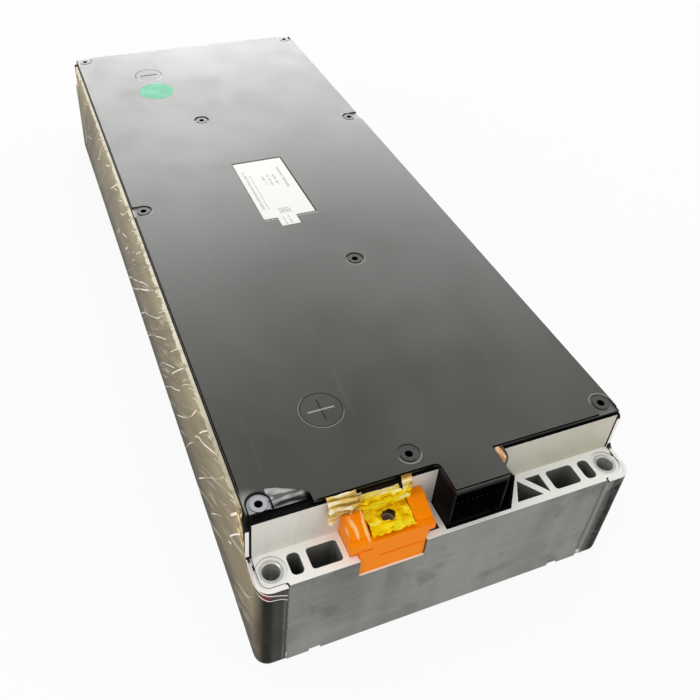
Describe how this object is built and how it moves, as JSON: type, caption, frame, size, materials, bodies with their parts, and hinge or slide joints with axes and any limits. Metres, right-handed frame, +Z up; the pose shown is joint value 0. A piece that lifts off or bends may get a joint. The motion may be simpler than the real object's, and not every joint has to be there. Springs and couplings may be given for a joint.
{
  "type": "ev battery module",
  "caption": "Long box-shaped traction battery module: extruded end plates with corner bores, folded side plates, moulded top cover, orange terminal blocks and a sense connector.",
  "frame": {"origin": "middle of the module's base, at the underside of the end plates", "axes": "+X across the width, +Y along the length away from the sense connector, +Z up"},
  "size_m": [0.225, 0.593, 0.1081],
  "materials": {
    "end_plate": "extruded and milled",
    "sleeve": "zinc plated",
    "side_plate": "mill finish",
    "side_film": "clear film over beige sheet, creased",
    "liner": "smooth",
    "base_sheet": "smooth",
    "insulator": "satin",
    "carrier": "moulded",
    "busbar": "bright",
    "output_busbar": "copper, dark coated away from its pad",
    "terminal_block": "moulded",
    "nut": "zinc plated",
    "terminal_film": "clear, crumpled",
    "flex": "polyimide over copper",
    "sensor": "moulded",
    "connector": "moulded",
    "pin": "tin plated",
    "cover": "satin, handled",
    "rivet": "moulded",
    "label": "paper-like film",
    "dot": "sticker",
    "cell": "blue film over a drawn can",
    "pad": "foam"
  },
  "bodies": {
    "root": {"base_sheet": "base_sheet", "busbar_1": "busbar", "busbar_2": "busbar", "busbar_3": "busbar", "busbar_4": "busbar", "busbar_5": "busbar", "busbar_6": "busbar", "busbar_7": "busbar", "busbar_carrier": "carrier", "cell_1": "cell", "cell_2": "cell", "cell_3": "cell", "cell_4": "cell", "cell_5": "cell", "cell_6": "cell", "cell_7": "cell", "cell_8": "cell", "cell_pad_1": "pad", "cell_pad_2": "pad", "cell_pad_3": "pad", "cell_pad_4": "pad", "cell_pad_5": "pad", "cell_pad_6": "pad", "cell_pad_7": "pad", "connector_pins": "pin", "cover_label": "label", "cover_rivets": "rivet", "end_insulator_front": "insulator", "end_insulator_rear": "insulator", "end_plate_front": "end_plate", "end_plate_rear": "end_plate", "inspection_dot": "dot", "mounting_sleeves": "sleeve", "output_busbar_negative": "output_busbar", "output_busbar_positive": "output_busbar", "sense_connector": "connector", "sense_flex": "flex", "side_film_left": "side_film", "side_film_right": "side_film", "side_liner_left": "liner", "side_liner_right": "liner", "side_plate_left": "side_plate", "side_plate_right": "side_plate", "temperature_sensors": "sensor", "terminal_block_negative": "terminal_block", "terminal_block_positive": "terminal_block", "terminal_film_negative": "terminal_film", "terminal_film_positive": "terminal_film", "terminal_nut_negative": "nut", "terminal_nut_positive": "nut", "top_cover": "cover"}
  },
  "joints": []
}
